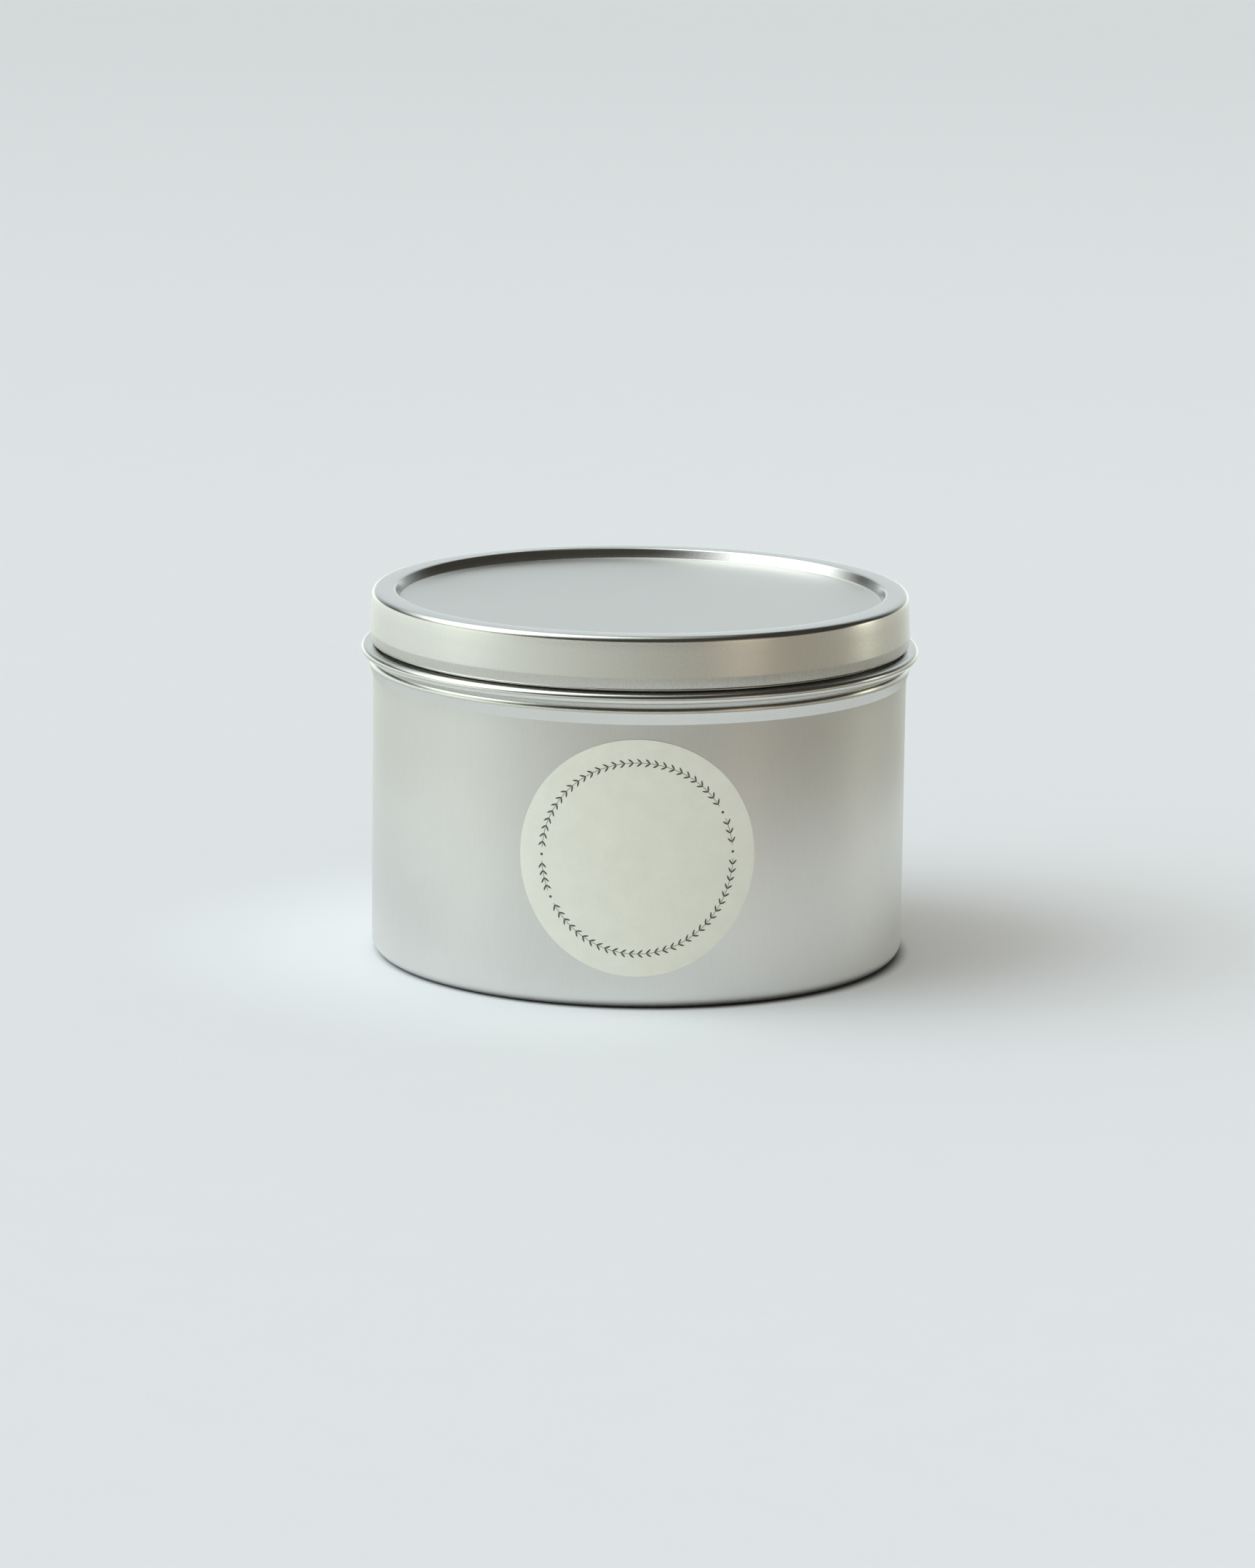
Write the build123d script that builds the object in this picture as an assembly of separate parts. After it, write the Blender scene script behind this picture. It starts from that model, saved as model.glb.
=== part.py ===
from build123d import *
import os
from math import sin

# A container candle in a drawn tinplate tin with a slip lid.
# The origin is the centre of the foot ring on the surface the tin stands on, +Z is up along
# the axis, and the front label faces -Y. All sizes are millimetres.

# --- driving dimensions -------------------------------------------------------------------

SHEET = 0.25  # tinplate thickness, of the body, the lid and everything drawn from them
HALF_SHEET = SHEET / 2

BODY_RADIUS = 40.0  # outside of the plain wall
FOOT_CORNER_RADIUS = 2.0  # middle of the sheet, where the wall turns under
BASE_RECESS_DEPTH = 0.8  # the base panel stands this far above the foot ring
BASE_PANEL_RADIUS = 35.4
BASE_BEND = 0.4
FOOT_RING_INNER_RADIUS = 36.6

SWELL_BOTTOM_HEIGHT = 42.15  # where the wall begins to swell below the bead
SWELL_BOTTOM_BEND = 0.5
SWELL_CORNER_RADIUS = 40.75
SWELL_CORNER_HEIGHT = 44.3
SWELL_CORNER_BEND = 1.2
CREASE_RADIUS = 39.85  # of the groove between the swell and the bead
CREASE_HEIGHT = 45.2  # middle of the sheet
CREASE_BEND = 0.15
BEAD_RADIUS = 41.7  # outside of the stop bead that the lid's edge comes down to
BEAD_BOTTOM_HEIGHT = 45.45
BEAD_TOP_HEIGHT = 46.8
NECK_RADIUS = 39.35  # outside of the neck that enters the lid
NECK_BEND = 0.35
RIM_HEIGHT = 54.5  # top of the curled rim
CURL_DIAMETER = 1.8  # of the rim's inward curl
CURL_END_GAP = 0.25  # between the curl's raw edge and the inside of the neck

LID_TOP_HEIGHT = 55.0
LID_RADIUS = 40.1  # outside of the skirt at its top; it flares down to the hem
LID_CORNER_RADIUS = 0.78  # middle of the sheet
LID_RECESS_DEPTH = 1.55
LID_RECESS_TOP_RADIUS = 36.8
LID_RECESS_BOTTOM_RADIUS = 36.05
LID_RECESS_BEND = 0.4
HEM_TOP_RADIUS = 40.42  # outside, where the hem is widest
HEM_BOTTOM_RADIUS = 40.3
HEM_TOP_HEIGHT = 48.93
HEM_BOTTOM_HEIGHT = 47.2
HEM_BEND = 0.6  # where the skirt turns into the hem
HEM_FOLD_GAP = 0.1  # left between the two layers of the folded edge
HEM_FOLD_DROP = 0.35  # the raw edge inside stops this far below the hem's top

WAX_LEVEL = 40.4
WAX_GAP = 0.04  # the wax shrinks this far from what it was poured against
MENISCUS_RISE = 0.7  # the wax climbs this far up the wall and the wick
MENISCUS_REACH = 1.6

WICK_WIDTH = 2.6  # flat braid, along X
WICK_THICKNESS = 1.5
WICK_CORNER_RADIUS = 0.6
WICK_STUB = 6.0  # trimmed length above the wax

STICKER_RADIUS = 9.5
STICKER_THICKNESS = 0.8
TAB_RADIUS = 10.0
TAB_THICKNESS = 0.3
TAB_NECK_HEIGHT = 6.0
TAB_NECK_RADIUS = 2.0
TAB_NECK_WALL = 0.35
TAB_NECK_BEND = 0.8

FRONT_LABEL_DIAMETER = 35.0
FRONT_LABEL_HEIGHT = 22.5  # of its centre
BASE_LABEL_DIAMETER = 50.0
LABEL_PAPER = 0.1
LABEL_GLUE = 0.03  # between the paper and the tin

# --- derived heights ----------------------------------------------------------------------

BASE_PANEL_TOP = BASE_RECESS_DEPTH + SHEET
STICKER_TOP = BASE_PANEL_TOP + STICKER_THICKNESS
TAB_TOP = STICKER_TOP + TAB_THICKNESS
INNER_WALL_RADIUS = BODY_RADIUS - SHEET
FULL_ROUND = 0.97  # share of half a fold's width that its two bends take, which leaves it all but round


# --- shared shapes ------------------------------------------------------------------------


def spun(section):
    """A section drawn with radius along X and height along Y, turned once round the tin's axis."""
    return revolve(Plane.XZ * section, Axis.Z)


def spun_sheet(corners, bends):
    """A strip of sheet metal along these (radius, height) corners, spun round the tin's axis.

    The corners are of the middle of the sheet, and bends gives each inner corner's radius.
    """
    middle_line = FilletPolyline(*corners, radius=bends)
    return spun(trace(middle_line, SHEET))


def disc(radius, bottom, thickness):
    """A flat round disc on the axis."""
    return Pos(0, 0, bottom) * extrude(Circle(radius), thickness)


def wick_section(extra=0.0):
    """The flat braid's outline, grown by extra all round."""
    return RectangleRounded(WICK_WIDTH + 2 * extra, WICK_THICKNESS + 2 * extra, WICK_CORNER_RADIUS + extra)


# --- tinplate pressings -------------------------------------------------------------------


def make_tin_body():
    """The seamless drawn cup: recessed base, foot ring, wall, stop bead, stepped-in neck, curled rim."""
    base = BASE_RECESS_DEPTH + HALF_SHEET
    foot = HALF_SHEET
    wall = BODY_RADIUS - HALF_SHEET
    swell = SWELL_CORNER_RADIUS - HALF_SHEET
    crease = CREASE_RADIUS - HALF_SHEET
    bead = BEAD_RADIUS - HALF_SHEET
    bead_bottom = BEAD_BOTTOM_HEIGHT + HALF_SHEET
    bead_top = BEAD_TOP_HEIGHT - HALF_SHEET
    neck = NECK_RADIUS - HALF_SHEET
    rim = RIM_HEIGHT - HALF_SHEET
    curl_size = CURL_DIAMETER - SHEET
    curl_bend = curl_size / 2 * FULL_ROUND
    bead_bend = (bead_top - bead_bottom) / 2 * FULL_ROUND
    curl_end = neck - HALF_SHEET - CURL_END_GAP
    corners = [
        (0, base),
        (BASE_PANEL_RADIUS, base),
        (FOOT_RING_INNER_RADIUS, foot),
        (wall, foot),
        (wall, SWELL_BOTTOM_HEIGHT),
        (swell, SWELL_CORNER_HEIGHT),
        (crease, CREASE_HEIGHT),
        (bead, bead_bottom),
        (bead, bead_top),
        (neck, bead_top),
        (neck, rim),
        (neck - curl_size, rim),
        (neck - curl_size, rim - curl_size),
        (curl_end, rim - curl_size),
    ]
    bends = [
        BASE_BEND,
        BASE_BEND,
        FOOT_CORNER_RADIUS,
        SWELL_BOTTOM_BEND,
        SWELL_CORNER_BEND,
        CREASE_BEND,
        bead_bend,
        bead_bend,
        NECK_BEND,
        curl_bend,
        curl_bend,
        curl_bend,
    ]
    return spun_sheet(corners, bends)


def make_lid():
    """The drawn slip lid: sunk panel, flat rim that spans the body's curl, skirt, hemmed edge."""
    rim = LID_TOP_HEIGHT - HALF_SHEET
    panel = rim - LID_RECESS_DEPTH
    skirt = LID_RADIUS - HALF_SHEET
    hem_top = HEM_TOP_RADIUS - HALF_SHEET
    hem_bottom = HEM_BOTTOM_RADIUS - HALF_SHEET
    fold = SHEET + HEM_FOLD_GAP
    fold_bend = fold / 2 * FULL_ROUND
    edge = HEM_BOTTOM_HEIGHT + HALF_SHEET
    corners = [
        (0, panel),
        (LID_RECESS_BOTTOM_RADIUS, panel),
        (LID_RECESS_TOP_RADIUS, rim),
        (skirt, rim),
        (hem_top, HEM_TOP_HEIGHT),
        (hem_bottom, edge),
        (hem_bottom - fold, edge),
        (hem_top - fold, HEM_TOP_HEIGHT - HEM_FOLD_DROP),
    ]
    bends = [LID_RECESS_BEND, LID_RECESS_BEND, LID_CORNER_RADIUS, HEM_BEND, fold_bend, fold_bend]
    return spun_sheet(corners, bends)


# --- the candle ---------------------------------------------------------------------------


def make_wick_sticker():
    """The double-sided foam dot that holds the wick's tab to the base."""
    return disc(STICKER_RADIUS, BASE_PANEL_TOP, STICKER_THICKNESS)


def make_wick_sustainer():
    """The round tinplate tab with a neck that grips the wick and keeps it upright."""
    plate = disc(TAB_RADIUS, STICKER_TOP, TAB_THICKNESS)
    neck = Pos(0, 0, STICKER_TOP) * extrude(Circle(TAB_NECK_RADIUS), TAB_NECK_HEIGHT)
    tab = plate + neck
    root = tab.edges().filter_by(GeomType.CIRCLE).filter_by_position(Axis.Z, TAB_TOP, TAB_TOP)
    root = root.sort_by(SortBy.RADIUS)[0]
    tab = fillet(root, TAB_NECK_BEND)
    bore = Pos(0, 0, STICKER_TOP) * extrude(Circle(TAB_NECK_RADIUS - TAB_NECK_WALL), TAB_NECK_HEIGHT)
    return tab - bore


def make_wick():
    """The flat braided cotton wick, from inside the tab to the trimmed stub above the wax."""
    length = WAX_LEVEL + WICK_STUB - STICKER_TOP
    return Pos(0, 0, STICKER_TOP) * extrude(wick_section(), length)


def make_wax_fill():
    """The poured wax, cast round the tab and the wick, with a raised edge where it wets the wall."""
    outer = INNER_WALL_RADIUS - WAX_GAP
    base = BASE_PANEL_TOP + WAX_GAP
    trough = SHEET + WAX_GAP
    foot_corner = FOOT_CORNER_RADIUS - HALF_SHEET - WAX_GAP
    outline = Polyline(
        (0, WAX_LEVEL),
        (0, base),
        (BASE_PANEL_RADIUS, base),
        (FOOT_RING_INNER_RADIUS, trough),
        (outer - foot_corner, trough),
    )
    outline += RadiusArc((outer - foot_corner, trough), (outer, trough + foot_corner), -foot_corner)
    outline += Line((outer, trough + foot_corner), (outer, WAX_LEVEL + MENISCUS_RISE))
    outline += TangentArc(
        (outer - MENISCUS_REACH, WAX_LEVEL), (outer, WAX_LEVEL + MENISCUS_RISE), tangent=(1, 0)
    )
    outline += Line((outer - MENISCUS_REACH, WAX_LEVEL), (0, WAX_LEVEL))
    wax = spun(make_face(outline))
    wax -= disc(STICKER_RADIUS + WAX_GAP, BASE_PANEL_TOP, STICKER_THICKNESS + WAX_GAP)
    wax -= disc(TAB_RADIUS + WAX_GAP, STICKER_TOP, TAB_THICKNESS + WAX_GAP)
    neck_room = TAB_NECK_RADIUS + TAB_NECK_BEND + WAX_GAP
    wax -= disc(neck_room, STICKER_TOP, TAB_NECK_HEIGHT + WAX_GAP)
    wax -= Pos(0, 0, STICKER_TOP) * extrude(wick_section(WAX_GAP), WAX_LEVEL)
    return wax


# --- labels -------------------------------------------------------------------------------


def make_front_label():
    """The round paper sticker, wrapped round the wall, which makes it narrower seen from the front."""
    inner = BODY_RADIUS + LABEL_GLUE
    outer = inner + LABEL_PAPER
    sleeve = extrude(Circle(outer) - Circle(inner), SWELL_BOTTOM_HEIGHT)
    half_height = FRONT_LABEL_DIAMETER / 2
    half_width = outer * sin(half_height / outer)
    facing = Plane(origin=(0, 0, FRONT_LABEL_HEIGHT), x_dir=(1, 0, 0), z_dir=(0, -1, 0))
    punch = extrude(facing * Ellipse(half_width, half_height), BODY_RADIUS + SHEET + LABEL_PAPER)
    return sleeve & punch


def make_base_label():
    """The round paper sticker in the base recess, above the plane the tin stands on."""
    bottom = BASE_RECESS_DEPTH - LABEL_GLUE - LABEL_PAPER
    return disc(BASE_LABEL_DIAMETER / 2, bottom, LABEL_PAPER)


# --- output -------------------------------------------------------------------------------

NODES = {
    "tin_body": make_tin_body,
    "lid": make_lid,
    "wax_fill": make_wax_fill,
    "wick": make_wick,
    "wick_sustainer": make_wick_sustainer,
    "wick_sticker": make_wick_sticker,
    "front_label": make_front_label,
    "base_label": make_base_label,
}

os.makedirs("parts", exist_ok=True)
for node_name, make_node in NODES.items():
    export_step(make_node(), f"parts/{node_name}.step")
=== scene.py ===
"""The looks of the candle tin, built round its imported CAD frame.

Blender 4.5, in metres, +Z up along the tin's axis and the front label facing -Y.
"""

import math

import bpy
from mathutils import Matrix, Vector, noise


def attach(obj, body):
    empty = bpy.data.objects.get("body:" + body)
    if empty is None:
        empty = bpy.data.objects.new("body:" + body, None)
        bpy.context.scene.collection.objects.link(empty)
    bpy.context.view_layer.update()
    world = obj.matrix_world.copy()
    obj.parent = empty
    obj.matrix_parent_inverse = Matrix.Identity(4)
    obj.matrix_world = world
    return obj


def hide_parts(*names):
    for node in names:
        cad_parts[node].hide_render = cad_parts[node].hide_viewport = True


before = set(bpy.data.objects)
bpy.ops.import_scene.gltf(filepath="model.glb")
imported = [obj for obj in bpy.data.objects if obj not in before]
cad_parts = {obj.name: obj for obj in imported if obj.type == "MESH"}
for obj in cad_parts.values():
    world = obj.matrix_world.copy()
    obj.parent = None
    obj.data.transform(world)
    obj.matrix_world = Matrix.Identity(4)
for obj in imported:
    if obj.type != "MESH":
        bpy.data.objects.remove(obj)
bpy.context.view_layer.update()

MM = 0.001

# --- the tin, in mm ------------------------------------------------------------------------

SHEET = 0.25
HALF_SHEET = SHEET / 2
FULL_ROUND = 0.97  # share of half a fold's width that its two bends take

BODY_RADIUS = 40.0
FOOT_CORNER_RADIUS = 2.0
BASE_RECESS_DEPTH = 0.8
BASE_PANEL_RADIUS = 35.4
BASE_BEND = 0.4
FOOT_RING_INNER_RADIUS = 36.6
SWELL_BOTTOM_HEIGHT = 42.15  # where the wall begins to swell below the bead
SWELL_BOTTOM_BEND = 0.5
SWELL_CORNER_RADIUS = 40.75
SWELL_CORNER_HEIGHT = 44.3
SWELL_CORNER_BEND = 1.2
CREASE_RADIUS = 39.85  # of the groove between the swell and the bead
CREASE_HEIGHT = 45.2  # middle of the sheet
CREASE_BEND = 0.15
BEAD_RADIUS = 41.7
BEAD_BOTTOM_HEIGHT = 45.45
BEAD_TOP_HEIGHT = 46.8
NECK_RADIUS = 39.35
NECK_BEND = 0.35
RIM_HEIGHT = 54.5
CURL_DIAMETER = 1.8
CURL_END_GAP = 0.25

LID_TOP_HEIGHT = 55.0
LID_RADIUS = 40.1
LID_CORNER_RADIUS = 0.78
LID_RECESS_DEPTH = 1.55
LID_RECESS_TOP_RADIUS = 36.8
LID_RECESS_BOTTOM_RADIUS = 36.05
LID_RECESS_BEND = 0.4
HEM_TOP_RADIUS = 40.42
HEM_BOTTOM_RADIUS = 40.3
HEM_TOP_HEIGHT = 48.93
HEM_BOTTOM_HEIGHT = 47.2
HEM_BEND = 0.6
HEM_FOLD_GAP = 0.1
HEM_FOLD_DROP = 0.35

# --- the candle and the labels, in mm --------------------------------------------------------

BASE_PANEL_TOP = BASE_RECESS_DEPTH + SHEET
WAX_GAP = 0.04
WAX_LEVEL = 40.4
WAX_RADIUS = BODY_RADIUS - SHEET - WAX_GAP
MENISCUS_RISE = 0.7  # where the wax wets the wall
MENISCUS_REACH = 1.6
MENISCUS_EDGE = 0.12  # width of its top
MENISCUS_BEND = 2.0
WICK_MENISCUS_RISE = 0.5
WICK_MENISCUS_REACH = 2.6
WICK_MENISCUS_TOP_BEND = 0.3
WICK_MENISCUS_FOOT_BEND = 1.2
CAST_BEND = 0.3  # where the wax set against the base
CAST_EDGE = 0.05  # where it set round the tab
WAX_EDGE = 0.03

WICK_WIDTH = 2.6
WICK_THICKNESS = 1.5
WICK_STUB = 6.0  # above the wax

STICKER_RADIUS = 9.5
STICKER_THICKNESS = 0.8
STICKER_BULGE = 0.2  # of its edge, under the load
STICKER_BULGE_BEND = 0.3
STICKER_EDGE = 0.08
TAB_RADIUS = 10.0
TAB_THICKNESS = 0.3
TAB_NECK_HEIGHT = 6.0
TAB_NECK_RADIUS = 2.0
TAB_NECK_WALL = 0.35
TAB_NECK_BEND = 0.8
TAB_EDGE = 0.12

FRONT_LABEL_RADIUS = 17.5
FRONT_LABEL_HEIGHT = 22.5
BASE_LABEL_RADIUS = 25.0
LABEL_PAPER = 0.1
LABEL_EDGE_BEND = LABEL_PAPER * 0.3
LABEL_GLUE = 0.03

# --- how finely the meshes are cut -----------------------------------------------------------

SEGMENTS = 288  # round the axis
BEND_STEP = math.radians(12)  # between the points of a bend
FEWEST_BEND_STEPS = 3
RUN_STEP = 2.0  # mm between the points of a straight run
WAX_STEP = 1.0
PAPER_STEP = 1.2
ON_AXIS = 1e-6  # mm; nearer than this to the axis is on it
SHARP_ANGLE = 40  # degrees between two faces from which their edge stays sharp


# --- outlines --------------------------------------------------------------------------------


def turned_left(direction):
    """A 2-D direction turned a quarter turn to the left."""
    return Vector((-direction.y, direction.x))


def bend_points(corner, ahead, after, radius):
    """The (point, left normal) pairs of the arc that rounds a corner between two directions."""
    turn = math.atan2(ahead.x * after.y - ahead.y * after.x, ahead.dot(after))
    side = math.copysign(1.0, turn)
    start = corner - ahead * radius * math.tan(abs(turn) / 2)
    normal = turned_left(ahead)
    centre = start + normal * side * radius
    steps = max(FEWEST_BEND_STEPS, math.ceil(abs(turn) / BEND_STEP))
    points = []
    for step in range(steps + 1):
        facing = normal.copy()
        facing.rotate(Matrix.Rotation(turn * step / steps, 2))
        points.append((centre - facing * side * radius, facing))
    return points


def rounded_line(corners, bends):
    """(point, left normal) pairs along a line of (radius, height) corners with its inner ones rounded."""
    corners = [Vector(corner) for corner in corners]
    directions = [(b - a).normalized() for a, b in zip(corners, corners[1:])]
    line = [(corners[0], turned_left(directions[0]))]
    for corner, ahead, after, radius in zip(corners[1:-1], directions, directions[1:], bends):
        line += bend_points(corner, ahead, after, radius)
    line.append((corners[-1], turned_left(directions[-1])))
    return line


def divided(line, longest):
    """The same line with every run cut into steps no longer than longest."""
    points = [line[0]]
    for (start, normal), (end, end_normal) in zip(line, line[1:]):
        steps = max(1, math.ceil((end - start).length / longest))
        for step in range(1, steps + 1):
            share = step / steps
            points.append((start.lerp(end, share), normal.lerp(end_normal, share).normalized()))
    return points


def sheet_outline(corners, bends):
    """The outline, out along one face and back along the other, of sheet metal bent to a middle line."""
    line = divided(rounded_line(corners, bends), RUN_STEP)
    out = [point + normal * HALF_SHEET for point, normal in line]
    back = [point - normal * HALF_SHEET for point, normal in reversed(line)]
    return out + back


def plain_outline(corners, bends, longest=RUN_STEP):
    """The points of a solid's outline with its inner corners rounded."""
    return [point for point, _ in divided(rounded_line(corners, bends), longest)]


def body_outline():
    """The drawn cup: recessed base, foot ring, wall, stop bead, stepped-in neck and curled rim."""
    base = BASE_RECESS_DEPTH + HALF_SHEET
    foot = HALF_SHEET
    wall = BODY_RADIUS - HALF_SHEET
    swell = SWELL_CORNER_RADIUS - HALF_SHEET
    crease = CREASE_RADIUS - HALF_SHEET
    bead = BEAD_RADIUS - HALF_SHEET
    bead_bottom = BEAD_BOTTOM_HEIGHT + HALF_SHEET
    bead_top = BEAD_TOP_HEIGHT - HALF_SHEET
    bead_bend = (bead_top - bead_bottom) / 2 * FULL_ROUND
    neck = NECK_RADIUS - HALF_SHEET
    rim = RIM_HEIGHT - HALF_SHEET
    curl_size = CURL_DIAMETER - SHEET
    curl_bend = curl_size / 2 * FULL_ROUND
    curl_end = neck - HALF_SHEET - CURL_END_GAP
    corners = [
        (0, base),
        (BASE_PANEL_RADIUS, base),
        (FOOT_RING_INNER_RADIUS, foot),
        (wall, foot),
        (wall, SWELL_BOTTOM_HEIGHT),
        (swell, SWELL_CORNER_HEIGHT),
        (crease, CREASE_HEIGHT),
        (bead, bead_bottom),
        (bead, bead_top),
        (neck, bead_top),
        (neck, rim),
        (neck - curl_size, rim),
        (neck - curl_size, rim - curl_size),
        (curl_end, rim - curl_size),
    ]
    bends = [
        BASE_BEND,
        BASE_BEND,
        FOOT_CORNER_RADIUS,
        SWELL_BOTTOM_BEND,
        SWELL_CORNER_BEND,
        CREASE_BEND,
        bead_bend,
        bead_bend,
        NECK_BEND,
        curl_bend,
        curl_bend,
        curl_bend,
    ]
    return sheet_outline(corners, bends)


def lid_outline():
    """The slip lid: sunk panel, flat rim, skirt and hemmed edge."""
    rim = LID_TOP_HEIGHT - HALF_SHEET
    panel = rim - LID_RECESS_DEPTH
    skirt = LID_RADIUS - HALF_SHEET
    hem_top = HEM_TOP_RADIUS - HALF_SHEET
    hem_bottom = HEM_BOTTOM_RADIUS - HALF_SHEET
    fold = SHEET + HEM_FOLD_GAP
    fold_bend = fold / 2 * FULL_ROUND
    edge = HEM_BOTTOM_HEIGHT + HALF_SHEET
    corners = [
        (0, panel),
        (LID_RECESS_BOTTOM_RADIUS, panel),
        (LID_RECESS_TOP_RADIUS, rim),
        (skirt, rim),
        (hem_top, HEM_TOP_HEIGHT),
        (hem_bottom, edge),
        (hem_bottom - fold, edge),
        (hem_top - fold, HEM_TOP_HEIGHT - HEM_FOLD_DROP),
    ]
    bends = [LID_RECESS_BEND, LID_RECESS_BEND, LID_CORNER_RADIUS, HEM_BEND, fold_bend, fold_bend]
    return sheet_outline(corners, bends)


# --- meshes ----------------------------------------------------------------------------------


def add_mesh(name, points, faces):
    """A smooth-shaded mesh object from points in mm, with its sharp edges left sharp."""
    mesh = bpy.data.meshes.new(name)
    mesh.from_pydata([Vector(point) * MM for point in points], [], faces)
    mesh.validate()
    mesh.shade_smooth()
    mesh.set_sharp_from_angle(angle=math.radians(SHARP_ANGLE))
    piece = bpy.data.objects.new(name, mesh)
    bpy.context.scene.collection.objects.link(piece)
    return piece


def lathe(name, outline, settle=None):
    """Spins an outline that starts and ends on the axis, or that ends where it starts, off the axis.

    settle moves each finished point a little.
    """
    points = []
    rings = []
    closed = outline[0].x > ON_AXIS
    for radius, height in outline[:-1] if closed else outline:
        if radius < ON_AXIS:
            rings.append([len(points)])
            points.append(Vector((0, 0, height)))
            continue
        rings.append(list(range(len(points), len(points) + SEGMENTS)))
        for segment in range(SEGMENTS):
            angle = math.tau * segment / SEGMENTS
            points.append(Vector((radius * math.cos(angle), radius * math.sin(angle), height)))
    if closed:
        rings.append(rings[0])
    faces = []
    for inner, outer in zip(rings, rings[1:]):
        for segment in range(SEGMENTS):
            following = (segment + 1) % SEGMENTS
            if len(inner) == 1:
                faces.append((inner[0], outer[segment], outer[following]))
            elif len(outer) == 1:
                faces.append((inner[segment], outer[0], inner[following]))
            else:
                faces.append((inner[segment], outer[segment], outer[following], inner[following]))
    if settle:
        points = [settle(point) for point in points]
    return add_mesh(name, points, faces)


# --- stage -----------------------------------------------------------------------------------

# In metres, but for the camera's lens and sensor, which are in mm.
CAMERA_AIM = Vector((-1.6, 0, 25.1)) * MM
CAMERA_AZIMUTH = math.radians(0.1)
CAMERA_ELEVATION = math.radians(11.82)
CAMERA_DISTANCE = 0.9008
CAMERA_ROLL = math.radians(0.72)
CAMERA_LENS = 137.35
CAMERA_SENSOR = 36.0
CAMERA_NEAR_LIMIT = 0.01

FLOOR_HOLE_RADIUS = 0.0005  # on the axis, under the tin
INNER_FLOOR_RADIUS = 0.14  # the part of the floor that the tin reflects
OUTER_FLOOR_RADIUS = 3.2
SWEEP_BEND = 1.2  # radius of the curve that takes the floor up into the backdrop
SWEEP_STEPS = 12
SWEEP_HEIGHT = 4.0
FLOOR_SEGMENTS = 96

FLOOR_COLOUR = (0.80, 0.82, 0.82)
FLOOR_GRAIN_SHADE = 0.985  # of the paper's colour, in its darker grain
FAR_FLOOR = (0.4, 1.7)  # how far behind the tin the painted dimming of the floor's light starts and is deepest
FAR_FLOOR_DIMMING = 0.90
# Painted shade, the tight shadow under the tin's edge, and painted light on the paper that the tin throws
# light back to. Each is at its level within inner, and leaves the paper as it is beyond outer. In mm.
UNDERSHADE = dict(centre=(0.7, 0, 0), inner=BODY_RADIUS - 2.0, outer=BODY_RADIUS + 0.9, level=0.10)
THROWN_LIGHT = dict(centre=(-12, 0, 0), inner=BODY_RADIUS - 10, outer=BODY_RADIUS + 30, level=1.11)

# Azimuth 0 is the camera's side (-Y), 90 is to its right (+X) and 180 is behind the tin. Azimuths
# and elevations of light are in degrees. A patch of light is full within one distance of its centre
# and gone at another: each is the distance between two directions of length 1.
KEY_LIGHT = dict(azimuth=-80, elevation=45, full_within=0.25, gone_at=0.65, colour=(2.17, 2.48, 2.78))
EVEN_LIGHT = (0.62, 0.61, 0.575)

# What the metal reflects: paper lit from the left, which gets lighter towards its far edge, a dim
# warm room above it, and these soft patches of light.
FLOOR_GLOW_AZIMUTH = -110  # the side where the reflected paper is brightest
FLOOR_GLOW = (0.60, 0.64, 0.60)
FLOOR_SHADE = (0.25, 0.232, 0.188)
FLOOR_EDGE_GAIN = 1.7
FLOOR_EDGE = (-14, -4)  # elevations between which the paper gets lighter
ROOM_DARK = (0.03, 0.028, 0.022)
ROOM_EDGE = (0, 7)  # elevations between which the paper gives way to the room
ROOM_PATCHES = {
    "window": dict(azimuth=-95, elevation=52, full_within=0.25, gone_at=0.85, colour=(1.90, 2.00, 2.00)),
    "left_wall": dict(azimuth=-80, elevation=24, full_within=0.25, gone_at=0.60, colour=(0.54, 0.58, 0.47)),
    "back_wall": dict(azimuth=180, elevation=22, full_within=0.25, gone_at=0.85, colour=(0.64, 0.70, 0.72)),
    "right_card": dict(azimuth=112, elevation=2, full_within=0.04, gone_at=0.22, colour=(1.20, 1.21, 0.97)),
    "warm_corner": dict(azimuth=45, elevation=4, full_within=0.04, gone_at=0.34, colour=(0.36, 0.28, 0.22)),
    "ceiling": dict(azimuth=0, elevation=90, full_within=0.10, gone_at=0.50, colour=(0.40, 0.42, 0.36)),
}


def heading(azimuth, elevation):
    """The unit vector towards an azimuth and an elevation, in radians."""
    level = math.cos(elevation)
    return Vector((math.sin(azimuth) * level, -math.cos(azimuth) * level, math.sin(elevation)))


def make_camera():
    """The camera at the photograph's viewing angle."""
    data = bpy.data.cameras.new("camera")
    data.sensor_fit = "VERTICAL"
    data.sensor_height = CAMERA_SENSOR
    data.lens = CAMERA_LENS
    data.clip_start = CAMERA_NEAR_LIMIT
    camera = bpy.data.objects.new("camera", data)
    towards = heading(CAMERA_AZIMUTH, CAMERA_ELEVATION)
    aimed = towards.to_track_quat("Z", "Y").to_matrix()
    rolled = aimed @ Matrix.Rotation(CAMERA_ROLL, 3, "Z")
    camera.matrix_world = Matrix.Translation(CAMERA_AIM + towards * CAMERA_DISTANCE) @ rolled.to_4x4()
    bpy.context.scene.collection.objects.link(camera)
    bpy.context.scene.camera = camera


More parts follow.
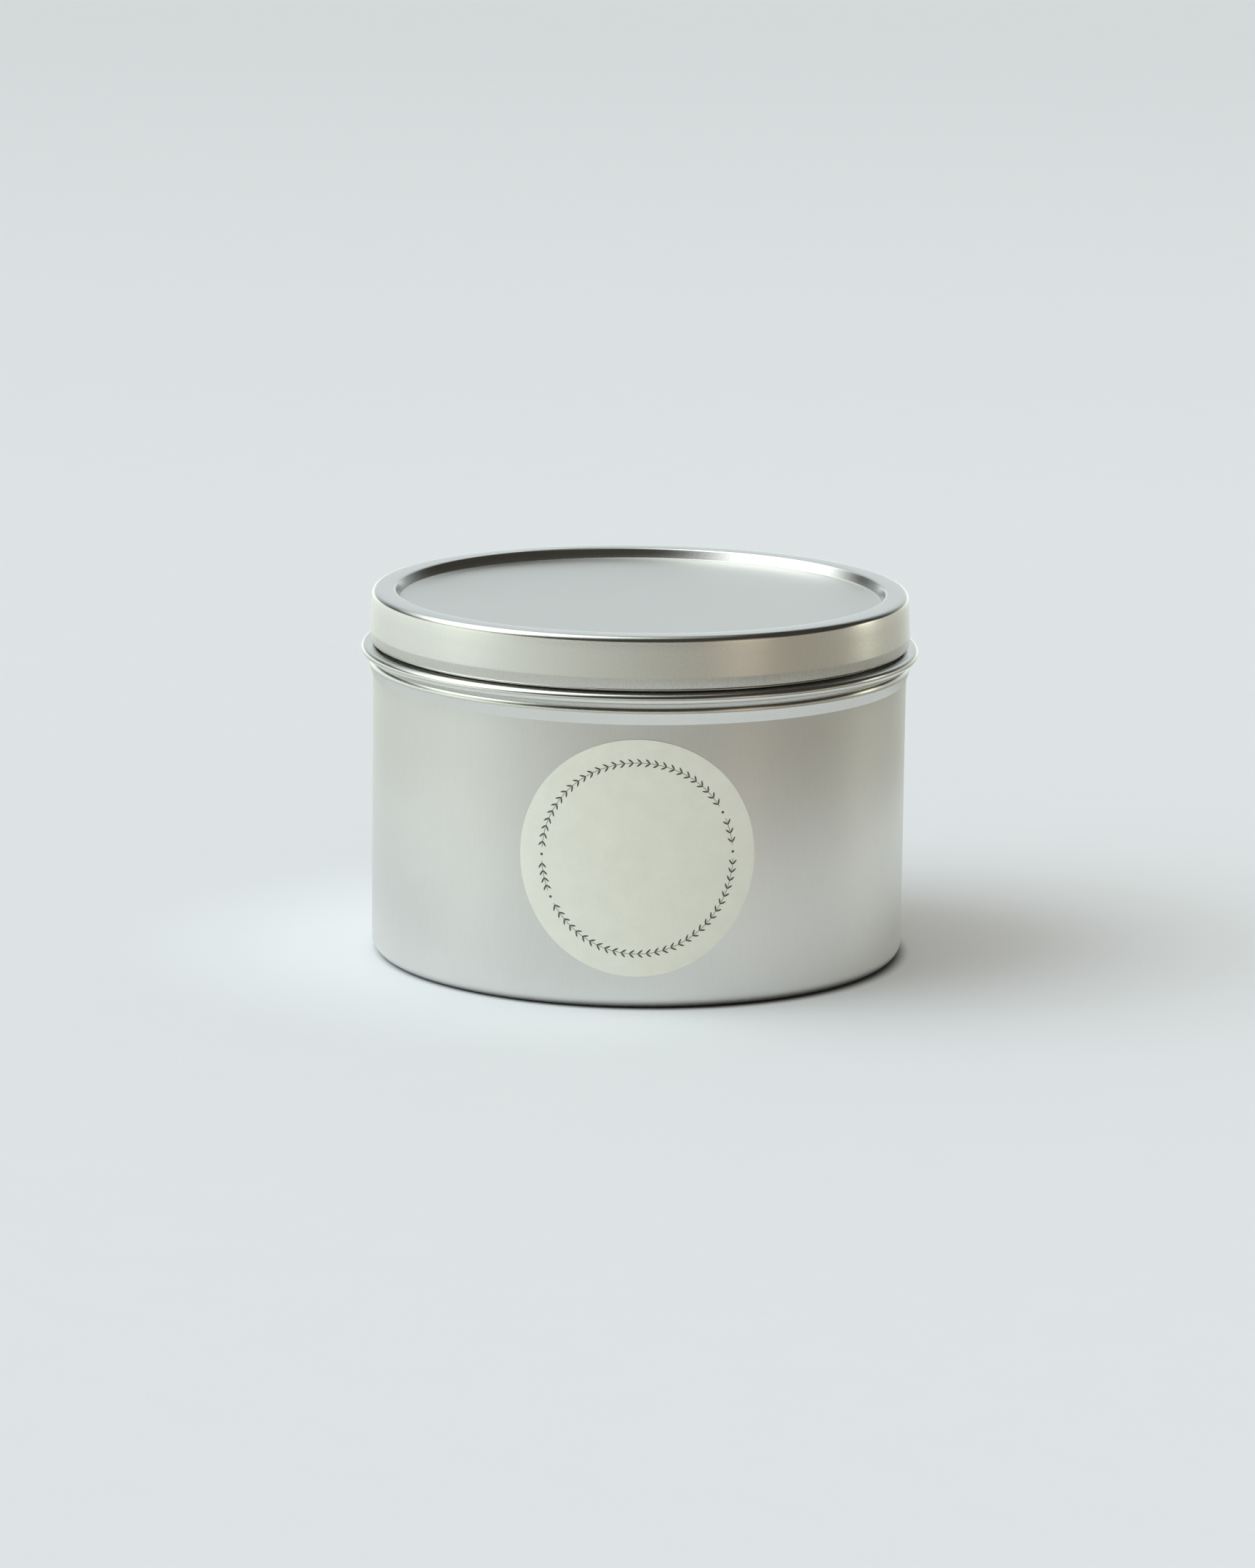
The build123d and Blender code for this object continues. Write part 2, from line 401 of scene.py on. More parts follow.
class Graph:
    """A node tree with short ways to add nodes. An input may be a value or another node's output."""

    def __init__(self, tree):
        self.tree = tree

    def feed(self, socket, value):
        """Links an output to a socket, or sets the socket to a plain value."""
        if isinstance(value, bpy.types.NodeSocket):
            self.tree.links.new(value, socket)
        else:
            socket.default_value = value

    def add(self, kind, inputs=None, **settings):
        """A new node with these settings and inputs."""
        node = self.tree.nodes.new(kind)
        for name, value in settings.items():
            setattr(node, name, value)
        for name, value in (inputs or {}).items():
            self.feed(node.inputs[name], value)
        return node

    def math(self, operation, *values):
        """A sum, a product or another operation on numbers."""
        node = self.add("ShaderNodeMath", operation=operation)
        for socket, value in zip(node.inputs, values):
            self.feed(socket, value)
        return node.outputs["Value"]

    def vector(self, operation, *values, output="Vector"):
        """The same on vectors and colours."""
        node = self.add("ShaderNodeVectorMath", operation=operation)
        for socket, value in zip(node.inputs, values):
            self.feed(socket, value)
        return node.outputs[output]

    def scaled(self, vector, amount):
        """A vector or a colour multiplied by a number."""
        node = self.add("ShaderNodeVectorMath", {"Vector": vector, "Scale": amount}, operation="SCALE")
        return node.outputs["Vector"]

    def fit(self, value, low, high, to_low=0.0, to_high=1.0, smooth=False):
        """value moved from the range low to high onto to_low to to_high, and held there."""
        node = self.add("ShaderNodeMapRange", interpolation_type="SMOOTHSTEP" if smooth else "LINEAR")
        for socket, number in zip(node.inputs, (value, low, high, to_low, to_high)):
            self.feed(socket, number)
        return node.outputs["Result"]

    def noise(self, vector, scale, detail=2.0, roughness=0.5, distortion=0.0):
        """An uneven pattern from 0 to 1, with scale bumps to the metre."""
        inputs = {"Vector": vector, "Scale": scale, "Detail": detail}
        inputs.update({"Roughness": roughness, "Distortion": distortion})
        return self.add("ShaderNodeTexNoise", inputs).outputs["Fac"]

    def both(self, first, second, share):
        """Two values added, with this share of the second and the rest of the first."""
        rest = self.math("MULTIPLY", first, 1 - share)
        return self.math("ADD", rest, self.math("MULTIPLY", second, share))

    def mix(self, factor, first, second):
        """A colour part way from first to second."""
        node = self.add("ShaderNodeMix", data_type="RGBA")
        for socket, value in ((0, factor), (6, first), (7, second)):
            self.feed(node.inputs[socket], value)
        return node.outputs[2]

    def bump(self, height, depth, normal=None):
        """A normal that follows height, which is taken to be depth metres from 0 to 1."""
        node = self.add("ShaderNodeBump", {"Height": height, "Distance": depth, "Strength": 1.0})
        if normal:
            self.feed(node.inputs["Normal"], normal)
        return node.outputs["Normal"]

    def place(self, stretch=(1, 1, 1)):
        """The point in the piece's own frame, in metres, with each axis multiplied by stretch."""
        point = self.add("ShaderNodeTexCoord").outputs["Object"]
        return self.vector("MULTIPLY", point, stretch)


def soft_patch(graph, direction, azimuth, elevation, full_within, gone_at, colour):
    """A soft round patch of light, as a colour by direction."""
    centre = heading(math.radians(azimuth), math.radians(elevation))
    away = graph.vector("SUBTRACT", direction, tuple(centre))
    length = graph.vector("LENGTH", away, output="Value")
    return graph.scaled(colour, graph.fit(length, full_within, gone_at, 1.0, 0.0, smooth=True))


def room_light(graph, direction):
    """What the metal reflects in a direction: the paper below, and the room with its lights above."""
    height = graph.add("ShaderNodeSeparateXYZ", {"Vector": direction}).outputs["Z"]
    elevation = graph.math("DEGREES", graph.math("ARCSINE", height))
    brightest = heading(math.radians(FLOOR_GLOW_AZIMUTH), 0)
    towards = graph.vector("DOT_PRODUCT", direction, tuple(brightest), output="Value")
    floor = graph.mix(graph.fit(towards, -1, 1), (*FLOOR_SHADE, 1), (*FLOOR_GLOW, 1))
    floor = graph.scaled(floor, graph.fit(elevation, *FLOOR_EDGE, 1.0, FLOOR_EDGE_GAIN, smooth=True))
    light = graph.mix(graph.fit(elevation, *ROOM_EDGE, smooth=True), floor, (*ROOM_DARK, 1))
    for patch in ROOM_PATCHES.values():
        light = graph.vector("ADD", light, soft_patch(graph, direction, **patch))
    return light


def light_studio():
    """The light that falls on things, the room that metal reflects, and a pale surround."""
    world = bpy.data.worlds.new("studio")
    bpy.context.scene.world = world
    world.use_nodes = True
    world.node_tree.nodes.clear()
    graph = Graph(world.node_tree)
    direction = graph.add("ShaderNodeTexCoord").outputs["Generated"]
    cast = graph.vector("ADD", EVEN_LIGHT, soft_patch(graph, direction, **KEY_LIGHT))
    cast = graph.add("ShaderNodeBackground", {"Color": cast}).outputs[0]
    room = graph.add("ShaderNodeBackground", {"Color": room_light(graph, direction)}).outputs[0]
    seen = graph.add("ShaderNodeBackground", {"Color": (*FLOOR_COLOUR, 1)}).outputs[0]
    ray = graph.add("ShaderNodeLightPath")
    glossy = {0: ray.outputs["Is Glossy Ray"], 1: cast, 2: room}
    light = graph.add("ShaderNodeMixShader", glossy).outputs[0]
    straight = {0: ray.outputs["Is Camera Ray"], 1: light, 2: seen}
    light = graph.add("ShaderNodeMixShader", straight).outputs[0]
    graph.add("ShaderNodeOutputWorld", {"Surface": light})


def round_patch(surface, place, centre, inner, outer, level):
    """A painted shade (level below 1) or painted light (level above 1) that goes softly from level to 1
    between two distances in mm from a centre.
    """
    away = surface.vector("SUBTRACT", place, tuple(Vector(centre) * MM))
    away = surface.vector("LENGTH", away, output="Value")
    return surface.fit(away, inner * MM, outer * MM, level, 1.0, smooth=True)


def floor_material():
    """Pale matte paper, with painted shade near black under the tin's edge, painted light round its foot
    and painted dimming far behind.
    """
    surface = Surface("floor_paper", {"Roughness": 0.9, "Specular IOR Level": 0.2})
    grain = surface.noise(surface.place(), scale=90.0, detail=4.0)
    darker = tuple(channel * FLOOR_GRAIN_SHADE for channel in FLOOR_COLOUR)
    colour = surface.mix(grain, (*darker, 1), (*FLOOR_COLOUR, 1))
    place = surface.place()
    # Painted shadow under the tin's edge, and painted light that the tin throws back round its foot.
    shade = round_patch(surface, place, **UNDERSHADE)
    painted_thrown_light = round_patch(surface, place, **THROWN_LIGHT)
    # Painted dimming of the light on the floor far behind the tin.
    behind = surface.add("ShaderNodeSeparateXYZ", {"Vector": place}).outputs["Y"]
    painted_far_dimming = surface.fit(behind, *FAR_FLOOR, 1.0, FAR_FLOOR_DIMMING)
    level = surface.math("MULTIPLY", surface.math("MULTIPLY", shade, painted_thrown_light), painted_far_dimming)
    surface.set("Base Color", surface.scaled(colour, level))
    return surface.material


def spun_stage(name, outline):
    """A piece of the stage, spun from (radius, height) points in metres."""
    points = []
    for radius, height in outline:
        for segment in range(FLOOR_SEGMENTS):
            angle = math.tau * segment / FLOOR_SEGMENTS
            points.append((radius * math.cos(angle), radius * math.sin(angle), height))
    faces = []
    for ring in range(len(outline) - 1):
        for segment in range(FLOOR_SEGMENTS):
            here = ring * FLOOR_SEGMENTS + segment
            following = ring * FLOOR_SEGMENTS + (segment + 1) % FLOOR_SEGMENTS
            faces.append((here, here + FLOOR_SEGMENTS, following + FLOOR_SEGMENTS, following))
    mesh = bpy.data.meshes.new(name)
    mesh.from_pydata(points, [], faces)
    mesh.shade_smooth()
    part = bpy.data.objects.new(name, mesh)
    bpy.context.scene.collection.objects.link(part)
    return part


def make_stage():
    """The floor near the tin, and the wide floor that sweeps up into a backdrop all round."""
    paper = floor_material()
    near = spun_stage("floor_near", [(FLOOR_HOLE_RADIUS, 0), (INNER_FLOOR_RADIUS, 0)])
    sweep = [(INNER_FLOOR_RADIUS, 0), (OUTER_FLOOR_RADIUS, 0)]
    for step in range(1, SWEEP_STEPS + 1):
        angle = math.radians(90 * step / SWEEP_STEPS)
        across = OUTER_FLOOR_RADIUS + SWEEP_BEND * math.sin(angle)
        sweep.append((across, SWEEP_BEND * (1 - math.cos(angle))))
    sweep.append((OUTER_FLOOR_RADIUS + SWEEP_BEND, SWEEP_HEIGHT))
    far = spun_stage("floor_far", sweep)
    far.visible_glossy = False
    far.visible_shadow = False
    far.visible_diffuse = False
    for part in (near, far):
        part.data.materials.append(paper)


# --- materials -------------------------------------------------------------------------------

# Colours in linear light.
TIN_LIGHT = (0.80, 0.80, 0.775, 1)
TIN_DARK = (0.72, 0.72, 0.69, 1)
WAX_DEEP = (0.82, 0.77, 0.64, 1)
WAX_PALE = (0.86, 0.82, 0.71, 1)
WAX_FROST = (0.91, 0.89, 0.83, 1)
COTTON_SHADED = (0.78, 0.74, 0.64, 1)
COTTON_BLEACHED = (0.93, 0.91, 0.84, 1)
COTTON_SOAKED = (0.84, 0.78, 0.63, 1)
FOAM_SHADED = (0.72, 0.71, 0.68, 1)
FOAM_WHITE = (0.88, 0.88, 0.86, 1)
INK_FULL = (0.055, 0.05, 0.045, 1)
INK_THIN = (0.16, 0.15, 0.135, 1)
FRONT_PAPER = (0.84, 0.855, 0.75, 1)
FRONT_PAPER_SHADED = (0.78, 0.795, 0.69, 1)
BASE_PAPER = (0.88, 0.875, 0.85, 1)
BASE_PAPER_SHADED = (0.82, 0.815, 0.79, 1)

# The dies leave the plate satin on the wall, burnished on the bead, half burnished on the lid's skirt
# and the tin's neck, and burnished again at the rim. Each change lies between two heights, in metres.
BURNISHED = 0.55  # share of the satin roughness that is left
POLISH_LOST = 0.5  # on the skirt and the neck
BEAD_CHANGE = (43.2 * MM, 44.2 * MM)
SKIRT_CHANGE = (46.6 * MM, 47.6 * MM)
RIM_CHANGE = (53.6 * MM, 54.3 * MM)


class Surface(Graph):
    """A material being built round one Principled shader, whose plain settings come first."""

    def __init__(self, name, settings):
        self.material = bpy.data.materials.new(name)
        self.material.use_nodes = True
        super().__init__(self.material.node_tree)
        self.shader = self.tree.nodes["Principled BSDF"]
        for socket, value in settings.items():
            self.shader.inputs[socket].default_value = value

    def set(self, socket, value):
        """Links or sets one of the shader's inputs."""
        self.feed(self.shader.inputs[socket], value)


def tinplate_wall():
    """Satin tinplate as rolled: fine grain up the wall, faint clouding, the bead and rim burnished."""
    surface = Surface("tinplate_wall", {"Metallic": 1.0})
    grain = surface.noise(surface.place((1, 1, 0.04)), scale=9000.0, detail=3.0, roughness=0.65)
    cloud = surface.noise(surface.place((1, 1, 0.6)), scale=45.0, detail=3.0)
    speck = surface.noise(surface.place(), scale=2600.0, detail=2.0)
    tone = surface.both(grain, cloud, 0.55)
    surface.set("Base Color", surface.mix(surface.fit(tone, 0.3, 0.7), TIN_DARK, TIN_LIGHT))
    satin = surface.fit(surface.math("ADD", grain, cloud), 0.6, 1.4, 0.30, 0.38)
    height = surface.add("ShaderNodeSeparateXYZ", {"Vector": surface.place()}).outputs["Z"]
    gained = surface.fit(height, *BEAD_CHANGE, smooth=True)
    lost = surface.fit(height, *SKIRT_CHANGE, 0.0, POLISH_LOST, smooth=True)
    regained = surface.fit(height, *RIM_CHANGE, 0.0, POLISH_LOST, smooth=True)
    burnish = surface.math("ADD", surface.math("SUBTRACT", gained, lost), regained)
    polish = surface.fit(burnish, 0, 1, 1.0, BURNISHED)
    surface.set("Roughness", surface.math("MULTIPLY", satin, polish))
    relief = surface.bump(grain, depth=0.004 * MM)
    surface.set("Normal", surface.bump(speck, depth=0.006 * MM, normal=relief))
    return surface.material


def tinplate_panel():
    """The sunk panel of the lid and the base: the same plate, finely matte from the pressing."""
    surface = Surface("tinplate_panel", {"Metallic": 1.0})
    pebble = surface.noise(surface.place(), scale=3200.0, detail=3.0, roughness=0.6)
    cloud = surface.noise(surface.place(), scale=60.0, detail=3.0)
    tone = surface.both(pebble, cloud, 0.6)
    surface.set("Base Color", surface.mix(surface.fit(tone, 0.1, 0.9), TIN_DARK, TIN_LIGHT))
    surface.set("Roughness", surface.fit(tone, 0.3, 0.7, 0.34, 0.40))
    surface.set("Normal", surface.bump(pebble, depth=0.006 * MM))
    return surface.material


def wax_material():
    """Poured vegetable wax: creamy, a little see-through, faintly frosted and mottled."""
    settings = {"Subsurface Weight": 0.35, "Subsurface Scale": 3 * MM, "IOR": 1.44, "Coat Weight": 0.06}
    surface = Surface("wax", settings)
    surface.shader.inputs["Subsurface Radius"].default_value = (1.0, 0.72, 0.45)
    mottle = surface.noise(surface.place(), scale=110.0, detail=5.0, roughness=0.6, distortion=0.4)
    frost = surface.noise(surface.place(), scale=900.0, detail=4.0, roughness=0.7)
    tone = surface.fit(mottle, 0.35, 0.65, smooth=True)
    colour = surface.mix(tone, WAX_DEEP, WAX_PALE)
    frosted = surface.fit(frost, 0.55, 0.75, 0.0, 0.35, smooth=True)
    surface.set("Base Color", surface.mix(frosted, colour, WAX_FROST))
    surface.set("Roughness", surface.fit(frost, 0.3, 0.7, 0.42, 0.62))
    relief = surface.bump(mottle, depth=0.05 * MM)
    surface.set("Normal", surface.bump(frost, depth=0.012 * MM, normal=relief))
    return surface.material


def cotton_material():
    """Bleached cotton yarn primed with wax: spun fibres along each yarn, slightly glossy."""
    surface = Surface("waxed_cotton", {"Sheen Weight": 0.25, "Sheen Roughness": 0.5, "Coat Weight": 0.1})
    fibre = surface.noise(surface.place((1, 1, 0.35)), scale=9000.0, detail=3.0, roughness=0.6)
    soak = surface.noise(surface.place(), scale=500.0, detail=2.0)
    colour = surface.mix(surface.fit(fibre, 0.3, 0.7), COTTON_SHADED, COTTON_BLEACHED)
    soaked = surface.fit(soak, 0.45, 0.75, 0, 0.3)
    surface.set("Base Color", surface.mix(soaked, colour, COTTON_SOAKED))
    surface.set("Roughness", surface.fit(soak, 0.3, 0.7, 0.75, 0.5))
    surface.set("Normal", surface.bump(fibre, depth=0.03 * MM))
    return surface.material


def foam_material():
    """White closed-cell foam tape with open cells at its cut edge."""
    settings = {"Subsurface Weight": 0.15, "Subsurface Scale": 1 * MM, "Roughness": 0.8}
    surface = Surface("foam_tape", settings)
    inputs = {"Vector": surface.place(), "Scale": 4200.0}
    cells = surface.add("ShaderNodeTexVoronoi", inputs).outputs["Distance"]
    surface.set("Base Color", surface.mix(surface.fit(cells, 0.1, 0.7), FOAM_SHADED, FOAM_WHITE))
    surface.set("Normal", surface.bump(cells, depth=0.05 * MM))
    return surface.material


def paper_material(name, light, dark):
    """Uncoated label paper: felted fibres, faint clouding where the pulp is thicker."""
    surface = Surface(name, {"Sheen Weight": 0.08, "Sheen Roughness": 0.6, "Specular IOR Level": 0.3})
    matted = surface.place((1, 1, 0.45))
    fibre = surface.noise(matted, scale=3800.0, detail=5.0, roughness=0.7, distortion=1.2)
    cloud = surface.noise(surface.place(), scale=330.0, detail=3.0)
    tone = surface.both(fibre, cloud, 0.45)
    surface.set("Base Color", surface.mix(surface.fit(tone, 0.34, 0.66), dark, light))
    surface.set("Roughness", surface.fit(fibre, 0.3, 0.7, 0.72, 0.9))
    relief = surface.bump(cloud, depth=0.012 * MM)
    surface.set("Normal", surface.bump(fibre, depth=0.010 * MM, normal=relief))
    return surface.material


def ink_material():
    """Warm dark-grey printing ink that has sunk unevenly into the paper."""
    surface = Surface("label_ink", {"Roughness": 0.62, "Specular IOR Level": 0.3})
    spread = surface.noise(surface.place(), scale=5200.0, detail=4.0, roughness=0.7)
    surface.set("Base Color", surface.mix(surface.fit(spread, 0.3, 0.75), INK_FULL, INK_THIN))
    surface.set("Normal", surface.bump(spread, depth=0.004 * MM))
    return surface.material


# --- the pieces ------------------------------------------------------------------------------


def place_piece(piece, body, node, slot, *materials):
    """Gives a piece its materials and its body, and hides the CAD node that it stands for. slot is not
    used.
    """
    for material in materials:
        piece.data.materials.append(material)
    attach(piece, body)
    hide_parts(node)


def waviness(point, size, depth):
    """A smooth unevenness at a point, up to depth, in bumps about size across."""
    return noise.noise(point / size) * depth


WALL_WAVE = 0.05  # how far the plate is out of true, in mm
WALL_WAVE_SIZE = 22.0
PANEL_WAVE = 0.05
PANEL_WAVE_SIZE = 18.0
PANEL_WAVE_EDGE = 4.0  # width in which a panel's wave takes over from the wall's
PANEL_WAVE_OFFSET = Vector((0, 0, 90))  # so that the two waves differ


def pressed(point):
    """The plate a little out of true: the walls in and out, the panels up and down."""
    across = math.hypot(point.x, point.y)
    if across < ON_AXIS:
        return point
    outward = Vector((point.x, point.y, 0)) / across
    wall = waviness(point, WALL_WAVE_SIZE, WALL_WAVE) - WALL_WAVE
    panel_share = max(0.0, min(1.0, (BASE_PANEL_RADIUS - across) / PANEL_WAVE_EDGE))
    panel = waviness(point + PANEL_WAVE_OFFSET, PANEL_WAVE_SIZE, PANEL_WAVE)
    return point + outward * wall * (1 - panel_share) + Vector((0, 0, panel * panel_share))


def paint_panel(piece, reach):
    """Gives the flat middle of a pressing, within reach of the axis, its second material."""
    for face in piece.data.polygons:
        if math.hypot(face.center.x, face.center.y) < reach * MM:
            face.material_index = 1


def make_body(wall, panel):
    """The tin itself."""
    body = lathe("body_shell", body_outline(), pressed)
    place_piece(body, "tin", "tin_body", "tinplate", wall, panel)
    paint_panel(body, BASE_PANEL_RADIUS)


def make_lid(wall, panel):
    """The slip lid."""
    lid = lathe("lid_shell", lid_outline(), pressed)
    place_piece(lid, "lid", "lid", "lid_tinplate", wall, panel)
    paint_panel(lid, LID_RECESS_BOTTOM_RADIUS)


def wax_outline():
    """The cast wax, with room left for the wick's tab and its foam dot."""
    base = BASE_PANEL_TOP + WAX_GAP
    tab_top = BASE_PANEL_TOP + STICKER_THICKNESS + TAB_THICKNESS + WAX_GAP
    neck_top = BASE_PANEL_TOP + STICKER_THICKNESS + TAB_NECK_HEIGHT + WAX_GAP
    neck_room = TAB_NECK_RADIUS + TAB_NECK_BEND + WAX_GAP
    trough = SHEET + WAX_GAP
    foot_corner = FOOT_CORNER_RADIUS - HALF_SHEET - WAX_GAP
    wet_edge = WAX_LEVEL + MENISCUS_RISE
    corners = [
        (0, WAX_LEVEL + WICK_MENISCUS_RISE),
        (WICK_WIDTH / 2, WAX_LEVEL + WICK_MENISCUS_RISE),
        (WICK_MENISCUS_REACH, WAX_LEVEL),
        (WAX_RADIUS - MENISCUS_REACH, WAX_LEVEL),
        (WAX_RADIUS - MENISCUS_EDGE, wet_edge),
        (WAX_RADIUS, wet_edge),
        (WAX_RADIUS, trough),
        (FOOT_RING_INNER_RADIUS, trough),
        (BASE_PANEL_RADIUS, base),
        (TAB_RADIUS + WAX_GAP, base),
        (TAB_RADIUS + WAX_GAP, tab_top),
        (neck_room, tab_top),
        (neck_room, neck_top),
        (0, neck_top),
    ]
    bends = [
        WICK_MENISCUS_TOP_BEND,
        WICK_MENISCUS_FOOT_BEND,
        MENISCUS_BEND,
        WAX_EDGE,
        WAX_EDGE,
        foot_corner,
        CAST_BEND,
        CAST_BEND,
        CAST_EDGE,
        CAST_EDGE,
        CAST_EDGE,
        CAST_EDGE,
    ]
    return plain_outline(corners, bends, longest=WAX_STEP)


WAX_SWELL = 0.16  # how far the set surface swells and sinks, in mm
WAX_SWELL_SIZE = 14.0
WAX_DIMPLE = 0.04
WAX_DIMPLE_SIZE = 2.6
WAX_SINK = 0.25  # round the wick, where the wax sets last
WAX_SINK_RADIUS = 7.0
WAX_SINK_WIDTH = 4.0
WAX_TOP_DEPTH = 0.5  # everything above this depth belongs to the surface


def poured(point):
    """The top of the wax as it set: a gentle swell, small dimples and a slight sink near the wick."""
    if point.z < WAX_LEVEL - WAX_TOP_DEPTH:
        return point
    across = math.hypot(point.x, point.y)
    inside = max(0.0, min(1.0, (WAX_RADIUS - across) / MENISCUS_REACH))
    swell = waviness(point, WAX_SWELL_SIZE, WAX_SWELL)
    dimple = -abs(waviness(point, WAX_DIMPLE_SIZE, WAX_DIMPLE))
    sink = -WAX_SINK * math.exp(-((across - WAX_SINK_RADIUS) / WAX_SINK_WIDTH) ** 2)
    return point + Vector((0, 0, (swell + dimple + sink - WAX_SWELL / 2) * inside))


def make_wax():
    """The poured wax."""
    wax = lathe("wax_pour", wax_outline(), poured)
    place_piece(wax, "tin", "wax_fill", "wax", wax_material())


PLAIT_STRANDS = 7  # an odd number, so that the strands go over and under in turn
PLAIT_PITCH = 4.8  # mm in which each strand crosses over and back
PLAIT_STEPS = 54  # along one pitch
STRAND_RADIUS = 0.33
STRAND_THINNING = 0.97  # of the radius, on average
STRAND_UNEVENNESS = 0.05
STRAND_UNEVENNESS_PER_MM = 2.3
STRAND_TOP_STEP = 0.12  # how much lower each of three strands ends than the one before it
STRAND_SIDES = 10


def strand_point(strand, height):
    """Where the middle of a strand is: from side to side, over and under each of the others in turn."""
    turn = math.tau * (height / PLAIT_PITCH + strand / PLAIT_STRANDS)
    across = (WICK_WIDTH / 2 - STRAND_RADIUS) * math.sin(turn)
    deep = (WICK_THICKNESS / 2 - STRAND_RADIUS) * math.sin((PLAIT_STRANDS - 1) * turn)
    return Vector((across, deep, height))


def skin(sections):
    """Points and faces of a closed bar through cross-sections with as many corners each."""
    sides = len(sections[0])
    points = [point for section in sections for point in section]
    faces = [tuple(reversed(range(sides)))]
    for ring in range(len(sections) - 1):
        low = ring * sides
        high = low + sides
        for side in range(sides):
            following = (side + 1) % sides
            faces.append((low + side, low + following, high + following, high + side))
    last = (len(sections) - 1) * sides
    faces.append(tuple(range(last, last + sides)))
    return points, faces


def tube(path, radii):
    """Points and faces of a closed round tube along a path that climbs, with a radius at each point."""
    sections = []
    for here, radius, before, after in zip(path, radii, [path[0], *path], [*path[1:], path[-1]]):
        along = (after - before).normalized()
        right = Vector((0, 1, 0)).cross(along).normalized()
        up = along.cross(right)
        section = []
        for side in range(STRAND_SIDES):
            angle = math.tau * side / STRAND_SIDES
            section.append(here + (right * math.cos(angle) + up * math.sin(angle)) * radius)
        sections.append(section)
    return skin(sections)


def join(parts):
    """Several (points, faces) parts as one."""
    points = []
    faces = []
    for part_points, part_faces in parts:
        offset = len(points)
        points += part_points
        faces += [tuple(offset + corner for corner in face) for face in part_faces]
    return points, faces


def make_wick():
    """The flat plaited wick, trimmed square at the top."""
    bottom = BASE_PANEL_TOP + STICKER_THICKNESS
    parts = []
    for strand in range(PLAIT_STRANDS):
        top = WAX_LEVEL + WICK_STUB - STRAND_TOP_STEP * (strand % 3)
        steps = math.ceil((top - bottom) / PLAIT_PITCH * PLAIT_STEPS)
        path = [strand_point(strand, bottom + (top - bottom) * step / steps) for step in range(steps + 1)]
        radii = []
        for point in path:
            uneven = STRAND_UNEVENNESS * noise.noise(point * STRAND_UNEVENNESS_PER_MM)
            radii.append(STRAND_RADIUS * (STRAND_THINNING + uneven))
        parts.append(tube(path, radii))
    wick = add_mesh("wick_plait", *join(parts))
    place_piece(wick, "tin", "wick", "wick_cotton", cotton_material())


def make_tab(plate):
    """The wick's tinplate tab with the neck that grips it."""
    bottom = BASE_PANEL_TOP + STICKER_THICKNESS
    top = bottom + TAB_THICKNESS
    neck_top = bottom + TAB_NECK_HEIGHT
    bore = TAB_NECK_RADIUS - TAB_NECK_WALL
    corners = [
        (bore, bottom),
        (bore, neck_top),
        (TAB_NECK_RADIUS, neck_top),
        (TAB_NECK_RADIUS, top),
        (TAB_RADIUS, top),
        (TAB_RADIUS, bottom),
        (bore, bottom),
    ]
    bends = [TAB_EDGE, TAB_EDGE, TAB_NECK_BEND, TAB_EDGE, TAB_EDGE]
    tab = lathe("wick_tab", plain_outline(corners, bends))
    place_piece(tab, "tin", "wick_sustainer", "tab_tinplate", plate)


def make_foam():
    """The foam dot under the tab, its edge bulged a little by the load."""
    bottom = BASE_PANEL_TOP + LABEL_GLUE
    top = BASE_PANEL_TOP + STICKER_THICKNESS
    middle = (bottom + top) / 2
    edge = STICKER_RADIUS - STICKER_BULGE
    corners = [(0, top), (edge, top), (STICKER_RADIUS, middle), (edge, bottom), (0, bottom)]
    bends = [STICKER_EDGE, STICKER_BULGE_BEND, STICKER_EDGE]
    foam = lathe("wick_foam", plain_outline(corners, bends))
    place_piece(foam, "tin", "wick_sticker", "foam", foam_material())


def wrapped(point):
    """A point of a flat sheet, x to the right, y up and z out of it, stuck to the front of the tin."""
    outer = BODY_RADIUS + LABEL_GLUE + LABEL_PAPER
    angle = point.x / outer
    out = BODY_RADIUS + LABEL_GLUE + point.z
    return Vector((out * math.sin(angle), -out * math.cos(angle), FRONT_LABEL_HEIGHT + point.y))


def paper_outline(radius):
    """A disc of paper with its cut edge very slightly rounded."""
    corners = [(0, LABEL_PAPER), (radius, LABEL_PAPER), (radius, 0), (0, 0)]
    return plain_outline(corners, [LABEL_EDGE_BEND, LABEL_EDGE_BEND], longest=PAPER_STEP)


INK_FILM = 0.012  # mm thick
WREATH_RADIUS = 14.1
WREATH_PITCH = math.radians(5.0)  # between the pairs of leaves
WREATH_STEM = 0.07  # width of the line that the leaves grow from
WREATH_DOTS = [math.radians(angle) for angle in (3, 28, 180, 206)]  # anticlockwise from the right
WREATH_GAP = math.radians(4.2)  # kept clear on each side of a dot
LEAF_LENGTH = 0.95
LEAF_WIDTH = 0.25
LEAF_TILT = math.radians(38)
LEAF_START = 0.25  # of the pitch, from where a pair's place begins to its root
LEAF_POINTS = 14
DOT_RADIUS = 0.2
STEM_STEP = math.radians(1.5)


def ring_point(angle, radius):
    """A point of the flat label, anticlockwise from the right."""
    return Vector((math.cos(angle), math.sin(angle))) * radius


def leaf(angle, side):
    """The outline of a slender leaf that grows from the stem at an angle, outwards or inwards."""
    outline = []
    for step in range(LEAF_POINTS):
        turn = math.tau * step / LEAF_POINTS
        along = (1 - math.cos(turn)) * LEAF_LENGTH / 2
        across = math.sin(turn) * abs(math.sin(turn)) ** 0.5 * LEAF_WIDTH / 2
        outline.append(Vector((along, across)))
    facing = Matrix.Rotation(angle + math.pi / 2 - side * LEAF_TILT, 2)
    root = ring_point(angle, WREATH_RADIUS)
    return [root + facing @ point for point in outline]


